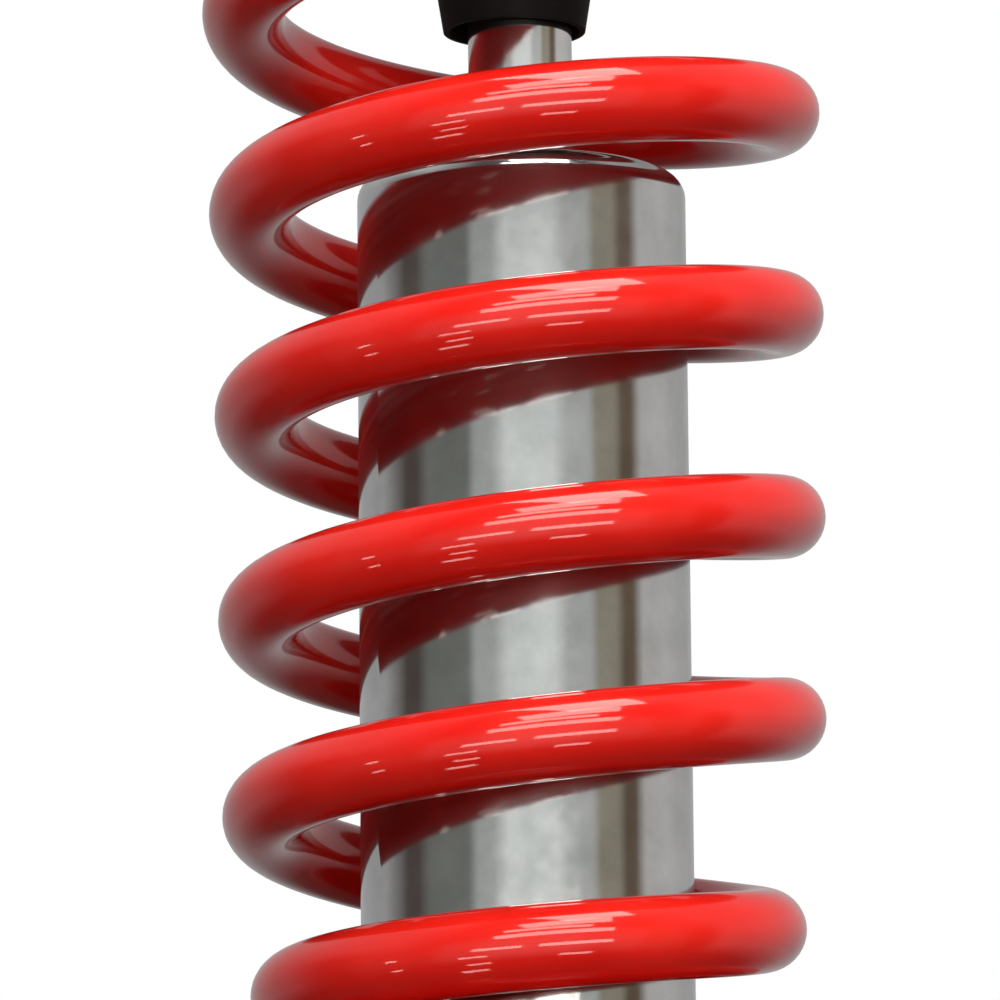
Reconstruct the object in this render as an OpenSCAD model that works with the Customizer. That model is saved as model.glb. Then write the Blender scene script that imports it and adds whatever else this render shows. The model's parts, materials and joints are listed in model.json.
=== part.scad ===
// Coilover: a twin-tube damper inside a tapered compression spring.
// The origin is the centre of the lower bolt bore, +Z runs up along the piston rod,
// and the bolts of both ends lie along Y.

/* [Lengths] */
// Centre of the lower bolt bore to the centre of the upper one
eye_to_eye = 428; // [425:1:440]
// Height of the body tube's rolled top
body_top = 280; // [279:1:282]
// Height of the lower spring seat's face, with the seat at its middle setting
seat_z = 121; // [118:1:126]

/* [Damper] */
// Outside diameter of the body tube
body_d = 52; // [52:0.5:53]
// Wall of the body tube
body_wall = 3; // [3:0.25:3.5]
// Radius of the roll at the top of the body tube
body_roll = 4; // [3.5:0.25:5]
// Diameter of the piston rod
rod_d = 16.5; // [16:0.5:17]
// Bore of the pressure tube
piston_d = 32; // [31:0.5:33]

/* [Spring] */
// Diameter of the spring wire
wire_d = 13; // [12:0.5:13]
// Length of the spring
spring_length = 250; // [245:5:255]
// Mean diameter of the closed turns at the lower end
spring_low_d = 72.4; // [71.4:0.2:73]
// Mean diameter just above the lower end's taper
spring_mid_d = 81.6; // [79:0.2:83]
// Mean diameter of the highest turn
spring_top_d = 86.6; // [84:0.2:88]
// Rise of the open turns, per turn
spring_pitch = 32.4; // [31:0.1:33]
// Direction of the wire's lower end, seen from above
spring_phase = 66; // [-180:1:180]

/* [Ends] */
// Diameter of the bolt bores
bolt_bore_d = 12.1; // [12.05:0.05:12.3]
// Length over a pair of spacers
spacer_span = 38; // [36:1:44]
// Outside diameter of an eye
eye_d = 48; // [46:1:50]
// Width of an eye
eye_w = 24; // [23:1:26]

/* [Adjuster] */
// Pitch of the body's thread
thread_pitch = 2; // [2:0.5:3]
// Depth of the body's thread
thread_depth = 1.1; // [0.8:0.1:1.3]
// Lowest point of the thread
thread_low = 38; // [36:1:50]
// Height of the adjuster nut
nut_h = 14; // [12:1:15]
// Number of spanner slots round each nut
slot_count = 8; // [6:1:12]

/* [Hidden] */

$fn = 96;
run = 0.04;                      // radial clearance of a running fit
slack = 0.08;                    // radial clearance of a loose fit
eps = 0.01;                      // overlap that makes two shapes of one solid join

body_r = body_d / 2;
tube_r = body_r - body_wall;     // inside of the body tube
rod_r = rod_d / 2;
bore_r = piston_d / 2;           // inside of the pressure tube
press_wall = 1.5;

// Heights from the bottom up
flange_z = 24;                   // underside of the base's flange
tube_low = 32;                   // lower end of the body tube
plug_z = 44;                     // top of the base's plug
valve_z = 52;                    // top of the foot valve's flange
o_ring_low = 36;                 // groove for the O-ring in the base's plug
o_ring_h = 3;
guide_low = 252;                 // underside of the rod guide
guide_step = 256;                // shoulder of the rod guide on the pressure tube
guide_top = 268;
lip_z = body_top - 3;            // underside of the rolled lip
lip_r = 19;
thread_high = 146;

// Spring adjuster, from the seat's face down
seat_t = 8.5;
washer_t = 1.5;
lock_h = 9;
washer_z = seat_z - seat_t - washer_t;
nut_z = washer_z - nut_h;
lock_z = nut_z - lock_h;
collar_bore_r = body_r + 0.05;   // the nuts and the seat run on the thread's crests

// Piston assembly on the rod's lower end
rod_low = 188;                   // lower tip of the rod's spigot
shoulder_z = 218;                // where the spigot meets the rod's full diameter
stop_ring_z = 222;
bumper_z = 226;
bumper_h = 14;
spigot_r = 5;
piston_z = 202;
piston_h = 12;
shims_h = 4;
piston_nut_h = 10;
port_count = 6;
port_r = 1.6;
port_ring_r = 9.4;

// Upper end
upper_seat_z = seat_z + spring_length;
hub_top = upper_seat_z + 9;
jam_h = 8;
shank_z = hub_top + jam_h;
rod_thread_r = 7;
rod_top = eye_to_eye - 23;
bump_low = 303.5;
bump_top = 364;
bump_lip_r = 11.3;

// Spherical bearings
race_r = 18;
race_half = 8.5;
ball_r = 14;
ball_half = 10.5;
ball_bore_r = 8.03;
stub_r = 8;
ring_t = 1.2;
ring_groove_r = 19;

// Spring wire
wire_r = wire_d / 2;
coil_steps = 28;                 // stations along one turn
wire_sides = 10;
taper_low = 28;                  // height above the seat at which the lower end's taper starts
taper_high = 62;                 // and at which it ends
closed_pitch = wire_d + 0.4;
// Pitch against turns from the lower end: closed turns, a half-open turn, a steeper half turn, and
// then even open turns
pitch_law = [[0, closed_pitch], [1.8, closed_pitch], [2.3, 19], [2.7, 19], [2.95, 37], [3.2, 37],
             [3.45, 30], [3.9, 30.5], [4.3, spring_pitch], [20, spring_pitch]];

// Heights of the wire's centre above the seat, station by station from the lower end. The ground
// ends leave a quarter of the wire, so the centre starts below the seat's face and ends above it
low_centre = -wire_d / 4;
top_centre = spring_length - low_centre;
closing_turns = 0.35;            // turns in which the upper end closes, before its closed turn
closing_rise = closed_pitch + closing_turns * (closed_pitch + spring_pitch) / 2;
closing_law = [[0, spring_pitch], [closing_turns, closed_pitch], [20, closed_pitch]];
open_z = [for (i = 0, z = low_centre; z < top_centre - closing_rise;
              z = z + lookup((i + 0.5) / coil_steps, pitch_law) / coil_steps, i = i + 1) z];
closing_z = [for (i = 1, z = open_z[len(open_z) - 1] + spring_pitch / coil_steps; z < top_centre;
                 z = z + lookup((i + 0.5) / coil_steps, closing_law) / coil_steps, i = i + 1) z];
wire_z = concat(open_z, closing_z);

// ---------------------------------------------------------------- shared shapes

// Solid of revolution about Z from an outline of [radius, height] points
module turned(outline) {
    rotate_extrude() polygon(outline);
}

// Plain ring about Z
module ring(low, high, inner, outer) {
    turned([[inner, low], [outer, low], [outer, high], [inner, high]]);
}

// Ring about Z with both outer edges chamfered
module chamfered_ring(low, high, inner, outer, c) {
    turned([[inner, low], [outer - c, low], [outer, low + c], [outer, high - c],
            [outer - c, high], [inner, high]]);
}

// Holes parallel to Z on a circle
module hole_circle(count, ring_r, hole_r, low, high) {
    for (i = [0 : count - 1])
        rotate([0, 0, i * 360 / count])
            translate([ring_r, 0, low]) cylinder(r = hole_r, h = high - low);
}

// Cylinder along Y, centred
module cross_cylinder(r, length) {
    rotate([90, 0, 0]) cylinder(r = r, h = length, center = true);
}

// Round nut with spanner slots round its edge
module slotted_nut(low, high, outer) {
    slot_w = 7;
    slot_depth = 3.5;
    difference() {
        chamfered_ring(low, high, collar_bore_r, outer, 1);
        for (i = [0 : slot_count - 1])
            rotate([0, 0, i * 360 / slot_count])
                translate([outer - slot_depth, -slot_w / 2, low - 1])
                    cube([slot_depth + 2, slot_w, high - low + 2]);
    }
}

// Seat of a spherical bearing in an eye: the race's bore, and a groove for each retaining ring
module bearing_bore() {
    cross_cylinder(race_r, eye_w + 2);
    for (side = [-1, 1])
        translate([0, side * (race_half + ring_t / 2), 0])
            cross_cylinder(ring_groove_r, ring_t);
}

module bearing_race() {
    rotate([90, 0, 0]) difference() {
        cylinder(r = race_r, h = 2 * race_half, center = true);
        sphere(r = ball_r + run);
    }
}

// Two internal retaining rings, each open at one side with an eyelet at both ends
module retaining_rings() {
    ring_in = 16.6;
    eyelet_r = 2.2;
    eyelet_ring_r = 15.6;
    gap_angle = 16;
    for (side = [-1, 1])
        translate([0, side * (race_half + ring_t / 2), 0])
            rotate([90, 0, 0]) difference() {
                union() {
                    difference() {
                        cylinder(r = ring_groove_r, h = ring_t, center = true);
                        cylinder(r = ring_in, h = ring_t + 1, center = true);
                        translate([-3, 0, -ring_t]) cube([6, ring_groove_r + 1, 2 * ring_t]);
                    }
                    for (turn = [-gap_angle, gap_angle])
                        rotate([0, 0, turn])
                            translate([0, eyelet_ring_r, 0])
                                cylinder(r = eyelet_r, h = ring_t, center = true);
                }
                for (turn = [-gap_angle, gap_angle])
                    rotate([0, 0, turn])
                        translate([0, eyelet_ring_r, 0])
                            cylinder(r = 1, h = ring_t + 1, center = true);
            }
}

module bearing_ball() {
    rotate([90, 0, 0]) difference() {
        intersection() {
            sphere(r = ball_r);
            cylinder(r = ball_r + 1, h = 2 * ball_half, center = true);
        }
        cylinder(r = ball_bore_r, h = 2 * ball_half + 1, center = true);
    }
}

// Two stepped spacers whose stubs meet near the middle of the ball
module spacers() {
    waist_r = 8.9;
    waist_end = 12.5;
    collar_r = 11;
    half = spacer_span / 2;
    for (side = [-90, 90])
        rotate([side, 0, 0])
            turned([[bolt_bore_d / 2, 0.5], [stub_r, 0.5], [stub_r, ball_half], [waist_r, ball_half],
                    [waist_r, waist_end], [collar_r, waist_end + 3], [collar_r, half - 0.5],
                    [collar_r - 0.5, half], [bolt_bore_d / 2, half]]);
}

// ---------------------------------------------------------------- damper body

module body_tube() {
    threads = floor((thread_high - thread_low) / thread_pitch);
    flank = thread_pitch * 0.45;
    groove = [for (i = [0 : threads - 1]) let (z = thread_low + i * thread_pitch)
                  each [[body_r, z], [body_r - thread_depth, z + flank], [body_r, z + 2 * flank]]];
    roll = [for (a = [0 : 15 : 90])
                [body_r - body_roll + body_roll * cos(a), body_top - body_roll + body_roll * sin(a)]];
    color("lightgray")
        turned(concat([[tube_r, tube_low], [body_r, tube_low]], groove, roll,
                      [[lip_r, body_top], [lip_r, lip_z], [tube_r, lip_z]]));
}

module base_eye() {
    groove_r = tube_r - 2.2;
    neck_w = 40;
    color("silver") difference() {
        union() {
            cross_cylinder(eye_d / 2, eye_w);
            rotate([90, 0, 0]) linear_extrude(eye_w, center = true)
                polygon([[-eye_d / 2 + 0.5, 4], [eye_d / 2 - 0.5, 4], [neck_w / 2, flange_z + 1],
                         [-neck_w / 2, flange_z + 1]]);
            turned([[0, flange_z], [body_r - 1.5, flange_z], [body_r, flange_z + 1.5],
                    [body_r, tube_low], [tube_r, tube_low], [tube_r, o_ring_low],
                    [groove_r, o_ring_low], [groove_r, o_ring_low + o_ring_h],
                    [tube_r, o_ring_low + o_ring_h], [tube_r, plug_z], [0, plug_z]]);
        }
        bearing_bore();
    }
}

module base_o_ring() {
    section_r = 1.1;
    color("black") rotate_extrude()
        translate([tube_r - section_r, o_ring_low + o_ring_h / 2]) circle(r = section_r);
}

module lower_bearing_race() { color("dimgray") bearing_race(); }

module lower_retaining_rings() { color("gray") retaining_rings(); }

module lower_ball() { color("silver") bearing_ball(); }

module lower_spacers() { color("gainsboro") spacers(); }

module pressure_tube() {
    color("silver") ring(valve_z, guide_step, bore_r, bore_r + press_wall);
}

// Base valve: a flanged disc with feet, so oil passes under it to the reserve
module foot_valve_body() {
    foot_h = 2.5;
    color("darkgray") difference() {
        turned([[0, plug_z], [bore_r + press_wall, plug_z], [bore_r + press_wall, valve_z],
                [bore_r, valve_z], [bore_r, valve_z + 4], [0, valve_z + 4]]);
        for (turn = [0, 60, 120])
            rotate([0, 0, turn])
                translate([-3, -bore_r - 5, plug_z - 1]) cube([6, 2 * bore_r + 10, foot_h + 1]);
        hole_circle(port_count, port_ring_r, port_r, plug_z, valve_z + 5);
        translate([0, 0, plug_z]) cylinder(r = 3, h = 20);
    }
}

module foot_valve_disc() {
    color("silver") ring(valve_z + 4, valve_z + 5, 3, 12);
}

module foot_valve_bolt() {
    head_r = 5;
    color("gray") turned([[0, plug_z + 3], [3, plug_z + 3], [3, valve_z + 5], [head_r, valve_z + 5],
                          [head_r, valve_z + 8], [head_r - 1, valve_z + 9], [0, valve_z + 9]]);
}

module rod_guide() {
    bush_r = rod_r + 1.5;
    color("darkgray") turned([[bush_r, guide_low], [bore_r, guide_low], [bore_r, guide_step],
                              [tube_r, guide_step], [tube_r, guide_top], [bush_r, guide_top]]);
}

module guide_bush() {
    color("darkkhaki") ring(guide_low, guide_top, rod_r + run, rod_r + 1.5);
}

module rod_seal() {
    color("black") turned([[rod_r + run, guide_top], [tube_r, guide_top], [tube_r, lip_z],
                           [rod_r + 3, lip_z], [rod_r + 1.5, lip_z - 3], [rod_r + run, lip_z - 4]]);
}

module dust_wiper() {
    color("black") turned([[rod_r + 3, lip_z], [lip_r, lip_z], [lip_r, body_top - 1],
                           [rod_r + 3, body_top - 1], [rod_r + 1, body_top + 1.5],
                           [rod_r + run, body_top + 1.5], [rod_r + run, body_top + 0.5]]);
}

// ---------------------------------------------------------------- height adjuster

module lock_nut() { color("slategray") slotted_nut(lock_z, nut_z, body_r + 6.5); }

module adjuster_nut() { color("slategray") slotted_nut(nut_z, washer_z, body_r + 8); }

module thrust_washer() {
    color("ivory") ring(washer_z, washer_z + washer_t, body_r + 0.3, body_r + 7.5);
}

module lower_spring_seat() {
    flange_r = spring_low_d / 2 + wire_r + 1;
    spigot_r_low = spring_low_d / 2 - wire_r - 0.8;
    spigot_h = 10;
    color("silver")
        turned([[collar_bore_r, seat_z - seat_t], [body_r + 9, seat_z - seat_t],
                [flange_r - 4, seat_z - 5], [flange_r - 1, seat_z - 5], [flange_r, seat_z - 4],
                [flange_r, seat_z], [spigot_r_low, seat_z], [spigot_r_low, seat_z + spigot_h - 1],
                [spigot_r_low - 1, seat_z + spigot_h], [collar_bore_r, seat_z + spigot_h]]);
}

// ---------------------------------------------------------------- spring

// Mean radius of a turn at height z above the lower seat: narrow closed turns, a smooth taper, and
// then a slow and even widening to the top
function coil_r(z) = let (s = min(1, max(0, (z - taper_low) / (taper_high - taper_low))),
                          up = min(1, max(0, (z - taper_high) / (spring_length - taper_high))))
    (spring_low_d + (spring_mid_d - spring_low_d) * s * s * (3 - 2 * s)
     + (spring_top_d - spring_mid_d) * up) / 2;

module spring() {
    stations = len(wire_z);
    points = [for (i = [0 : stations - 1], j = [0 : wire_sides - 1])
                  let (turn = spring_phase + i * 360 / coil_steps,
                       a = j * 360 / wire_sides,
                       r = coil_r(wire_z[i]) + wire_r * cos(a),
                       z = min(spring_length, max(0, wire_z[i] + wire_r * sin(a))))
                  [r * cos(turn), r * sin(turn), seat_z + z]];
    sides = [for (i = [0 : stations - 2], j = [0 : wire_sides - 1])
                 let (k = (j + 1) % wire_sides, a = i * wire_sides, b = a + wire_sides)
                 [a + j, a + k, b + k, b + j]];
    low_end = [for (j = [wire_sides - 1 : -1 : 0]) j];
    high_end = [for (j = [0 : wire_sides - 1]) (stations - 1) * wire_sides + j];
    color("red") polyhedron(points, concat(sides, [low_end], [high_end]), convexity = 12);
}

// ---------------------------------------------------------------- upper end

module upper_spring_seat() {
    flange_r = spring_top_d / 2 + wire_r + 1.2;
    spigot_top_r = spring_top_d / 2 - wire_r - 0.8;
    flange_t = 6;
    hub_r = 15;
    color("silver")
        turned([[rod_r + run, upper_seat_z], [spigot_top_r - 5, upper_seat_z],
                [spigot_top_r - 5, upper_seat_z - 10], [spigot_top_r - 1, upper_seat_z - 10],
                [spigot_top_r, upper_seat_z - 9], [spigot_top_r, upper_seat_z],
                [flange_r, upper_seat_z], [flange_r, upper_seat_z + flange_t - 1],
                [flange_r - 1, upper_seat_z + flange_t], [hub_r, upper_seat_z + flange_t],
                [hub_r, hub_top - 1], [hub_r - 1, hub_top], [rod_r + run, hub_top]]);
}

// Foam stop: a cone with a dished end, then two lobes, and a shank held in the cup
module bump_stop() {
    lobe_r = 18.5;
    waist_r = 14.8;
    shank_r = 17;
    lobe_low = bump_low + 22;
    lobe_pitch = 14;
    lobes = [for (n = [0, 1], a = [-90 : 30 : 90])
                 [waist_r + (lobe_r - waist_r) * cos(a), lobe_low + lobe_pitch * (n + 0.5)
                  + lobe_pitch * 0.46 * sin(a)]];
    color([0.08, 0.08, 0.08])
        turned(concat([[rod_r + slack, bump_low + 7], [bump_lip_r - 0.6, bump_low],
                       [bump_lip_r, bump_low], [waist_r, lobe_low]],
                      lobes, [[shank_r, bump_top - 10], [shank_r, bump_top],
                              [rod_r + slack, bump_top]]));
}

module bump_stop_cup() {
    cup_in = 17;
    cup_out = 19;
    cup_low = bump_top - 7;
    color("dimgray")
        turned([[rod_r + slack, bump_top], [cup_in, bump_top], [cup_in, cup_low],
                [cup_out, cup_low], [cup_out, upper_seat_z], [rod_r + slack, upper_seat_z]]);
}

// ---------------------------------------------------------------- rod assembly

module piston_rod() {
    color("gainsboro")
        turned([[0, rod_low], [spigot_r - 0.5, rod_low], [spigot_r, rod_low + 0.5],
                [spigot_r, shoulder_z], [rod_r, shoulder_z], [rod_r, hub_top], [rod_thread_r, hub_top],
                [rod_thread_r, rod_top - 1], [rod_thread_r - 1, rod_top], [0, rod_top]]);
}

module rebound_stop_ring() { color("gray") ring(stop_ring_z, bumper_z, rod_r, rod_r + 5); }

module rebound_bumper() {
    color("black") chamfered_ring(bumper_z, bumper_z + bumper_h, rod_r, rod_r + 5.5, 1.5);
}

// Stack of thin discs, the widest against the piston
module shim_stack(low, widest_low) {
    widest_r = 12.5;
    step_r = 1.2;
    last = shims_h - 1;
    for (i = [0 : last])
        ring(low + i, low + i + 1 + (i < last ? eps : 0), spigot_r,
             widest_r - step_r * (widest_low ? i : last - i));
}

module compression_shims() { color("silver") shim_stack(piston_z + piston_h, true); }

module rebound_shims() { color("silver") shim_stack(piston_z - shims_h, false); }

module piston() {
    band_r = bore_r - 1;
    rim_r = bore_r - 0.4;
    color("darkgray") difference() {
        turned([[spigot_r, piston_z], [rim_r, piston_z], [rim_r, piston_z + 2], [band_r, piston_z + 2],
                [band_r, piston_z + piston_h - 2], [rim_r, piston_z + piston_h - 2],
                [rim_r, piston_z + piston_h], [spigot_r, piston_z + piston_h]]);
        hole_circle(port_count, port_ring_r, port_r, piston_z - 1, piston_z + piston_h + 1);
    }
}

module piston_band() {
    color("darkslategray")
        ring(piston_z + 2, piston_z + piston_h - 2, bore_r - 1, bore_r - run);
}

module piston_nut() {
    high = piston_z - shims_h;
    color("gray") difference() {
        translate([0, 0, high - piston_nut_h]) cylinder(r = 9.8, h = piston_nut_h, $fn = 6);
        translate([0, 0, high - piston_nut_h - 1]) cylinder(r = spigot_r, h = piston_nut_h + 2);
    }
}

module jam_nut() {
    color("gray") difference() {
        translate([0, 0, hub_top]) cylinder(r = 12.7, h = jam_h, $fn = 6);
        translate([0, 0, hub_top - 1]) cylinder(r = rod_thread_r, h = jam_h + 2);
    }
}

module rod_eye() {
    shank_r = 13;
    color("silver") difference() {
        union() {
            translate([0, 0, eye_to_eye]) cross_cylinder(eye_d / 2, eye_w);
            turned([[0, shank_z], [shank_r - 1, shank_z], [shank_r, shank_z + 1],
                    [shank_r, eye_to_eye - 12], [0, eye_to_eye - 12]]);
        }
        translate([0, 0, eye_to_eye]) bearing_bore();
        translate([0, 0, shank_z - 1]) cylinder(r = rod_thread_r, h = rod_top - shank_z + 1.5);
    }
}

module upper_bearing_race() { color("dimgray") translate([0, 0, eye_to_eye]) bearing_race(); }

module upper_retaining_rings() { color("gray") translate([0, 0, eye_to_eye]) retaining_rings(); }

module upper_ball() { color("silver") translate([0, 0, eye_to_eye]) bearing_ball(); }

module upper_spacers() { color("gainsboro") translate([0, 0, eye_to_eye]) spacers(); }

body_tube();
base_eye();
base_o_ring();
lower_bearing_race();
lower_retaining_rings();
lower_ball();
lower_spacers();
pressure_tube();
foot_valve_body();
foot_valve_disc();
foot_valve_bolt();
rod_guide();
guide_bush();
rod_seal();
dust_wiper();
lock_nut();
adjuster_nut();
thrust_washer();
lower_spring_seat();
spring();
upper_spring_seat();
bump_stop();
bump_stop_cup();
piston_rod();
rebound_stop_ring();
rebound_bumper();
compression_shims();
piston();
piston_band();
rebound_shims();
piston_nut();
jam_nut();
rod_eye();
upper_bearing_race();
upper_retaining_rings();
upper_ball();
upper_spacers();
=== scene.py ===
import json
import math

import bmesh
import bpy
import numpy as np
from mathutils import Matrix, Quaternion, Vector
from mathutils.kdtree import KDTree


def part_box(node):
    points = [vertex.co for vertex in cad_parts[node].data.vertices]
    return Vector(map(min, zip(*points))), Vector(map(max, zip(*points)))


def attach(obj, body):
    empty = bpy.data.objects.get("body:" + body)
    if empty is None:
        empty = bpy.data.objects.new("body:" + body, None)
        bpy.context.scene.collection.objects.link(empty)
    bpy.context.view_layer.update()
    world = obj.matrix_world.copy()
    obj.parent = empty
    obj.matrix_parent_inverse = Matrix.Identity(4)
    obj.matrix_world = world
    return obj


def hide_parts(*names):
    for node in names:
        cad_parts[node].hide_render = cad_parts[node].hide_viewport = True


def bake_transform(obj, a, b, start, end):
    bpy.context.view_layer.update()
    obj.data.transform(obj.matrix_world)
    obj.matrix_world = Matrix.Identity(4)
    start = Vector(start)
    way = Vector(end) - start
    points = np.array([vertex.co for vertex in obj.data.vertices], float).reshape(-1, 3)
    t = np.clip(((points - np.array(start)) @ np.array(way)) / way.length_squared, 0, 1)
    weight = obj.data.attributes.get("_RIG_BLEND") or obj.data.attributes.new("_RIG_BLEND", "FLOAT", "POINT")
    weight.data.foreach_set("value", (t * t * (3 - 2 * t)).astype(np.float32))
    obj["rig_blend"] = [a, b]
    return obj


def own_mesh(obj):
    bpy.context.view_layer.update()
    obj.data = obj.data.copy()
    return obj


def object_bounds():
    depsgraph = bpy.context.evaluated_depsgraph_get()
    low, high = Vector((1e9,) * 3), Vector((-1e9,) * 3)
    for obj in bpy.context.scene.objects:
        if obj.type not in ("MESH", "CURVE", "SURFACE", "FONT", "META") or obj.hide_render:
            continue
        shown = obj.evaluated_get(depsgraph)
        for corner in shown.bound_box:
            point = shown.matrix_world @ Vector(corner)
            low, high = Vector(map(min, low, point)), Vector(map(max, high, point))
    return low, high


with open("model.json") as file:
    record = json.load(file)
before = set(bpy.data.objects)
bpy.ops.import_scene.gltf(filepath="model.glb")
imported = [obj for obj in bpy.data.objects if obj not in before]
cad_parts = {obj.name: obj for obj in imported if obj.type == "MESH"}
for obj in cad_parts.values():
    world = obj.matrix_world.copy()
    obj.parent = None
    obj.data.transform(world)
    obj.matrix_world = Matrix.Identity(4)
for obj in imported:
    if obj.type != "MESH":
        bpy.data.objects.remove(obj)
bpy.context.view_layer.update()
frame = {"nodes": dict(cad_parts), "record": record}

MM = 0.001
AXES = {joint["name"]: joint for joint in frame["record"]["behaviour"]["joints"]}
SLOTS = {part["node"]: part["material_slot"] for part in frame["record"]["subparts"]}
BODY_OF = {node: body for body, nodes in frame["record"]["behaviour"]["bodies"].items() for node in nodes}
EYE_TO_EYE = AXES["upper_swing"]["pos_m"][2] / MM


def low(node):
    """Height of a node's lowest point, in millimetres."""
    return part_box(node)[0].z / MM


def high(node):
    """Height of a node's highest point, in millimetres."""
    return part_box(node)[1].z / MM


def outer(node):
    """Radius of a round node about the rod's axis, in millimetres."""
    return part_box(node)[1].x / MM


# ------------------------------------------------------------------ camera

# The camera stands low in front and looks up along the rod, from a little under a metre
VIEW_HEIGHT = 228 * MM
VIEW_DISTANCE = 0.95
VIEW_RISE = math.radians(8.59)
VIEW_ROLL = math.radians(-0.52)


def make_camera():
    data = bpy.data.cameras.new("camera")
    data.lens = 217.4
    data.sensor_width = 36
    data.shift_x = -0.0240
    data.shift_y = 0.0017
    data.clip_start = 0.05
    camera = bpy.data.objects.new("camera", data)
    bpy.context.collection.objects.link(camera)
    back = Vector((0, -math.cos(VIEW_RISE), -math.sin(VIEW_RISE)))
    camera.location = Vector((0, 0, VIEW_HEIGHT)) + back * VIEW_DISTANCE
    camera.rotation_mode = "QUATERNION"
    camera.rotation_quaternion = (-back).to_track_quat("-Z", "Y") @ Quaternion((0, 0, 1), VIEW_ROLL)
    bpy.context.scene.camera = camera


# ------------------------------------------------------------------ light

# The walls of the room, as broad plain cards that fade into each other: the compass angles at which each
# card starts and ends, from the camera's side towards +X, and its tone
ROOM_CARDS = [
    (-180, -115, "9c9c9c"),   # wall behind the object
    (-90, -80, "4c4440"),     # dark flag at the left
    (-70, -40, "6c6e6a"),     # dim side wall
    (-34, -22, "a4a6a4"),     # pale card beside the front
    (-12, 20, "d0d4d2"),      # open bright front
    (30, 46, "acaeac"),       # pale card at the other side
    (52, 66, "8c8678"),       # warm dim side wall
    (73, 81, "605244"),       # dark flag at the right
    (90, 115, "b4b2b0"),      # pale card past it
    (150, 180, "9c9c9c"),     # wall behind the object
]
# The same for the ceiling, and the dim floor
CEILING_BANDS = [(-180, "808080"), (-130, "b4b4b4"), (-70, "b4b4b4"), (-35, "46464a"), (55, "46464a"),
                 (85, "a0a0a0"), (180, "808080")]
FLOOR_SIDE = "484442"
# Where one part of the room fades into the next, as the rise of a direction (1 is straight up) or its
# way back from the camera's side (-1 is straight in front)
CARD_FADE = (0.25, 0.55)
FLOOR_TO_CEILING = (-0.3, 0.1)
FRONT_TO_BACK = (-0.8, 0.4)

# The object is lit mostly by the tube lights, and mirrors the room more brightly than the room lights it
ROOM_MIRRORED = 1.35
FRONT_LIGHT, BACK_LIGHT = 0.9, 0.05

# Rows of tube lights round the object: height angle, the compass angles of the row's ends, and its width
TUBE_ROWS = [
    (71, 0, 80, 0.95), (51, -8, 42, 0.38), (39, -14, 28, 0.17), (25, -16, 36, 0.26),
    (-3, -22, -2, 0.16), (-3, 5, 35, 0.20), (-29, 16, 30, 0.14),
    (-20, -27, -15, 0.11), (-38, -24, -13, 0.11), (-55, -30, -15, 0.14),
    (-8, -59, -54, 0.10), (-30, -58, -53, 0.10),
]
TUBE_DISTANCE = 1.6
TUBE_GLOW = 8.5
TUBE_COLOUR = (1.0, 0.93, 0.86)

# Soft boxes at the sides and behind: name, compass angle, height angle and glow
SOFT_BOXES = [("left_soft_box", -75, 15, 0.9), ("right_soft_box", 80, 20, 0.9),
              ("back_left_soft_box", -150, 40, 0.8), ("back_right_soft_box", 150, 40, 0.8)]
SOFT_BOX_SIDE = 1.3


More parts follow.
